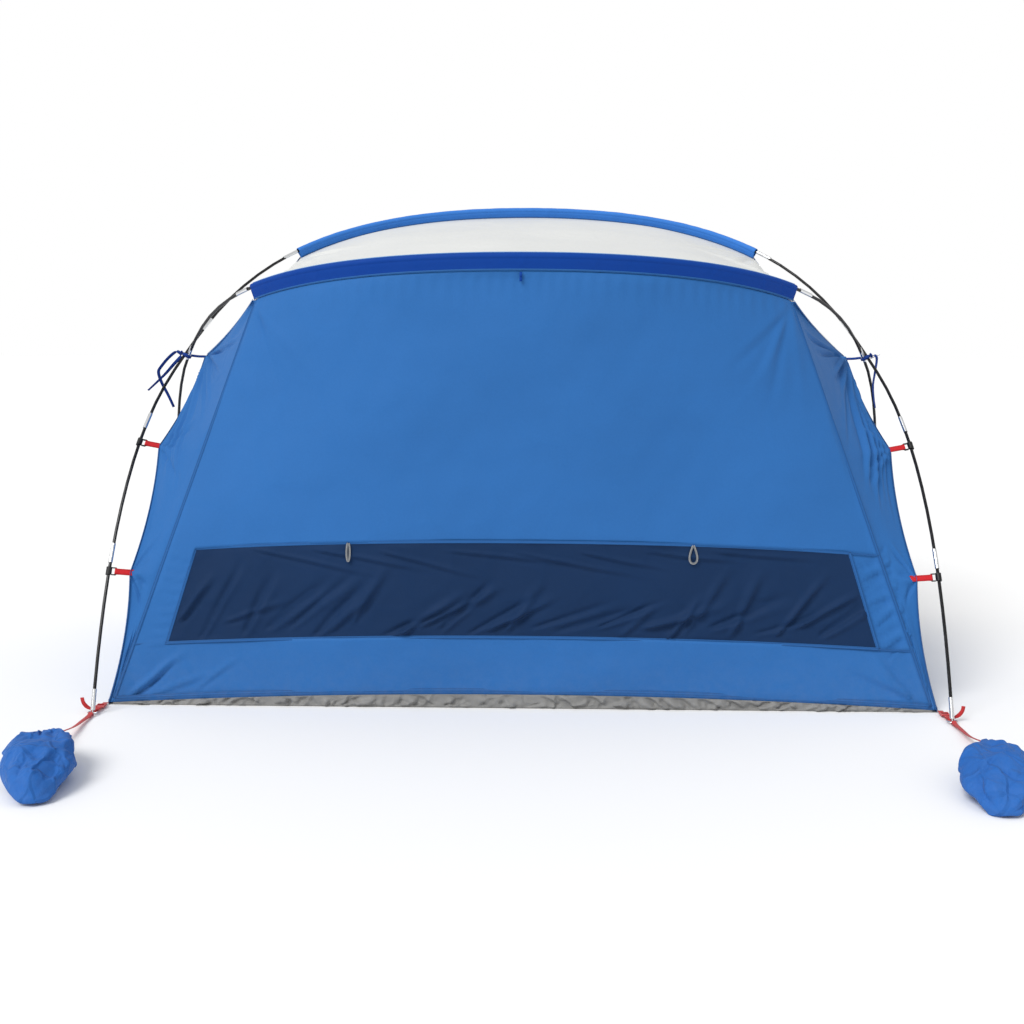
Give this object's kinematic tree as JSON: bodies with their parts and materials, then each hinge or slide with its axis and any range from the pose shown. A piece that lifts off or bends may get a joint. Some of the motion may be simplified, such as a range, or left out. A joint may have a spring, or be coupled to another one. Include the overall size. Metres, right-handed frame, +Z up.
{
  "type": "tunnel tent",
  "caption": "Half-open beach tent on crossed arch poles, with a closed rear wall, a low mesh window, pole clips, corner ring pins and sandbags on straps.",
  "frame": {"origin": "centre of the bounding box on the ground", "axes": "+Z up, +Y out of the open front, X across the tent"},
  "size_m": [2.8576, 3.3624, 1.7358],
  "materials": {
    "adjuster_red": "moulded acetal, red",
    "canopy_blue": "coated polyester taffeta, plain weave",
    "clip_black": "moulded acetal",
    "elastic_cord": "braided elastic cord",
    "ferrule_steel": "bright rolled steel sleeve",
    "ground_grey": "woven polyethylene groundsheet",
    "loop_grey": "grey elastic cord",
    "mesh_dark": "fine dark insect mesh",
    "pole_black": "pultruded fibreglass tube, glossy black",
    "ring_steel": "plated steel wire",
    "roof_silver": "polyester with a pale silver coating",
    "sleeve_dark": "coated polyester taffeta, darker band",
    "sleeve_light": "coated polyester taffeta, lighter band",
    "strap_red": "flat braided strap, pale red",
    "tie_navy": "narrow woven tape",
    "webbing_red": "woven polypropylene webbing"
  },
  "bodies": {
    "tent": {"front_pole": "pole_black", "rear_pole": "pole_black", "front_ferrules": "ferrule_steel", "rear_ferrules": "ferrule_steel", "front_shock_cord": "elastic_cord", "rear_shock_cord": "elastic_cord", "roof": "roof_silver", "front_sleeve": "sleeve_light", "rear_sleeve": "sleeve_dark", "rear_wall_upper": "canopy_blue", "rear_wall_lower": "canopy_blue", "window_sides": "canopy_blue", "window_mesh": "mesh_dark", "rear_gusset_left": "canopy_blue", "rear_gusset_right": "canopy_blue", "side_wall_left": "canopy_blue", "side_wall_right": "canopy_blue", "floor": "ground_grey", "floor_skirt": "ground_grey", "tabs_rear_left": "webbing_red", "tabs_rear_right": "webbing_red", "tabs_front_left": "webbing_red", "tabs_front_right": "webbing_red", "tie_left": "tie_navy", "tie_right": "tie_navy", "tie_tails_left": "tie_navy", "tie_tails_right": "tie_navy", "window_loop_left": "loop_grey", "window_loop_right": "loop_grey", "hang_loop": "sleeve_dark"},
    "corner_rear_left": {"webbing_rear_left": "webbing_red", "ring_pin_rear_left": "ring_steel"},
    "adjuster_rear_left": {"adjuster_rear_left": "adjuster_red"},
    "strap_rear_left": {"bag_strap_rear_left": "strap_red"},
    "bag_rear_left": {"sandbag_rear_left": "canopy_blue"},
    "clip_low_rear_left": {"clip_low_rear_left": "clip_black"},
    "clip_high_rear_left": {"clip_high_rear_left": "clip_black"},
    "corner_front_left": {"webbing_front_left": "webbing_red", "ring_pin_front_left": "ring_steel"},
    "adjuster_front_left": {"adjuster_front_left": "adjuster_red"},
    "strap_front_left": {"bag_strap_front_left": "strap_red"},
    "bag_front_left": {"sandbag_front_left": "canopy_blue"},
    "clip_low_front_left": {"clip_low_front_left": "clip_black"},
    "clip_high_front_left": {"clip_high_front_left": "clip_black"},
    "corner_rear_right": {"webbing_rear_right": "webbing_red", "ring_pin_rear_right": "ring_steel"},
    "adjuster_rear_right": {"adjuster_rear_right": "adjuster_red"},
    "strap_rear_right": {"bag_strap_rear_right": "strap_red"},
    "bag_rear_right": {"sandbag_rear_right": "canopy_blue"},
    "clip_low_rear_right": {"clip_low_rear_right": "clip_black"},
    "clip_high_rear_right": {"clip_high_rear_right": "clip_black"},
    "corner_front_right": {"webbing_front_right": "webbing_red", "ring_pin_front_right": "ring_steel"},
    "adjuster_front_right": {"adjuster_front_right": "adjuster_red"},
    "strap_front_right": {"bag_strap_front_right": "strap_red"},
    "bag_front_right": {"sandbag_front_right": "canopy_blue"},
    "clip_low_front_right": {"clip_low_front_right": "clip_black"},
    "clip_high_front_right": {"clip_high_front_right": "clip_black"},
    "window_flap": {"window_flap": "canopy_blue"}
  },
  "joints": [
    {"name": "pin_release_rear_left", "type": "slide", "parent": "tent", "child": "corner_rear_left", "axis": [0.0277, -0.3828, -0.9234], "range_m": [0, 0.045]},
    {"name": "adjuster_slide_rear_left", "type": "slide", "parent": "corner_rear_left", "child": "adjuster_rear_left", "axis": [0, 1, 0], "range_m": [-0.02, 0.02]},
    {"name": "strap_swing_rear_left", "type": "hinge", "parent": "corner_rear_left", "child": "strap_rear_left", "pos_m": [-1.35, -0.89, 0.009], "axis": [0, 0, 1], "range_deg": [-30, 30]},
    {"name": "bag_lift_rear_left", "type": "hinge", "parent": "strap_rear_left", "child": "bag_rear_left", "pos_m": [-1.342, -1.285, 0.064], "axis": [-1, 0, 0], "range_deg": [0, 60]},
    {"name": "clip_low_open_rear_left", "type": "hinge", "parent": "tent", "child": "clip_low_rear_left", "pos_m": [-1.33341, -0.69656, 0.42457], "axis": [0.014, 0.4742, 0.8803], "range_deg": [0, 75]},
    {"name": "clip_high_open_rear_left", "type": "hinge", "parent": "tent", "child": "clip_high_rear_left", "pos_m": [-1.30784, -0.43371, 0.82638], "axis": [0.1065, 0.6328, 0.767], "range_deg": [0, 75]},
    {"name": "pin_release_front_left", "type": "slide", "parent": "tent", "child": "corner_front_left", "axis": [0.3159, 0.5925, -0.7411], "range_m": [0, 0.045]},
    {"name": "adjuster_slide_front_left", "type": "slide", "parent": "corner_front_left", "child": "adjuster_front_left", "axis": [0, -1, 0], "range_m": [-0.02, 0.02]},
    {"name": "strap_swing_front_left", "type": "hinge", "parent": "corner_front_left", "child": "strap_front_left", "pos_m": [-1.35, 0.89, 0.009], "axis": [0, 0, 1], "range_deg": [-30, 30]},
    {"name": "bag_lift_front_left", "type": "hinge", "parent": "strap_front_left", "child": "bag_front_left", "pos_m": [-1.342, 1.285, 0.064], "axis": [1, 0, 0], "range_deg": [0, 60]},
    {"name": "clip_low_open_front_left", "type": "hinge", "parent": "tent", "child": "clip_low_front_left", "pos_m": [-1.39711, 0.50754, 0.44224], "axis": [0.0363, -0.6886, 0.7242], "range_deg": [0, 75]},
    {"name": "clip_high_open_front_left", "type": "hinge", "parent": "tent", "child": "clip_high_front_left", "pos_m": [-1.3316, 0.13125, 0.83156], "axis": [0.2006, -0.6803, 0.7049], "range_deg": [0, 75]},
    {"name": "pin_release_rear_right", "type": "slide", "parent": "tent", "child": "corner_rear_right", "axis": [-0.0277, -0.3828, -0.9234], "range_m": [0, 0.045]},
    {"name": "adjuster_slide_rear_right", "type": "slide", "parent": "corner_rear_right", "child": "adjuster_rear_right", "axis": [0, 1, 0], "range_m": [-0.02, 0.02]},
    {"name": "strap_swing_rear_right", "type": "hinge", "parent": "corner_rear_right", "child": "strap_rear_right", "pos_m": [1.35, -0.89, 0.009], "axis": [0, 0, 1], "range_deg": [-30, 30]},
    {"name": "bag_lift_rear_right", "type": "hinge", "parent": "strap_rear_right", "child": "bag_rear_right", "pos_m": [1.342, -1.285, 0.064], "axis": [-1, 0, 0], "range_deg": [0, 60]},
    {"name": "clip_low_open_rear_right", "type": "hinge", "parent": "tent", "child": "clip_low_rear_right", "pos_m": [1.33341, -0.69656, 0.42457], "axis": [0.014, -0.4742, -0.8803], "range_deg": [0, 75]},
    {"name": "clip_high_open_rear_right", "type": "hinge", "parent": "tent", "child": "clip_high_rear_right", "pos_m": [1.30784, -0.43371, 0.82638], "axis": [0.1065, -0.6328, -0.767], "range_deg": [0, 75]},
    {"name": "pin_release_front_right", "type": "slide", "parent": "tent", "child": "corner_front_right", "axis": [-0.3159, 0.5925, -0.7411], "range_m": [0, 0.045]},
    {"name": "adjuster_slide_front_right", "type": "slide", "parent": "corner_front_right", "child": "adjuster_front_right", "axis": [0, -1, 0], "range_m": [-0.02, 0.02]},
    {"name": "strap_swing_front_right", "type": "hinge", "parent": "corner_front_right", "child": "strap_front_right", "pos_m": [1.35, 0.89, 0.009], "axis": [0, 0, 1], "range_deg": [-30, 30]},
    {"name": "bag_lift_front_right", "type": "hinge", "parent": "strap_front_right", "child": "bag_front_right", "pos_m": [1.342, 1.285, 0.064], "axis": [1, 0, 0], "range_deg": [0, 60]},
    {"name": "clip_low_open_front_right", "type": "hinge", "parent": "tent", "child": "clip_low_front_right", "pos_m": [1.39711, 0.50754, 0.44224], "axis": [0.0363, 0.6886, -0.7242], "range_deg": [0, 75]},
    {"name": "clip_high_open_front_right", "type": "hinge", "parent": "tent", "child": "clip_high_front_right", "pos_m": [1.3316, 0.13125, 0.83156], "axis": [0.2006, 0.6803, -0.7049], "range_deg": [0, 75]},
    {"name": "flap_swing", "type": "hinge", "parent": "tent", "child": "window_flap", "pos_m": [0, -0.79107, 0.54504], "axis": [1, 0, 0], "range_deg": [0, 45]}
  ]
}
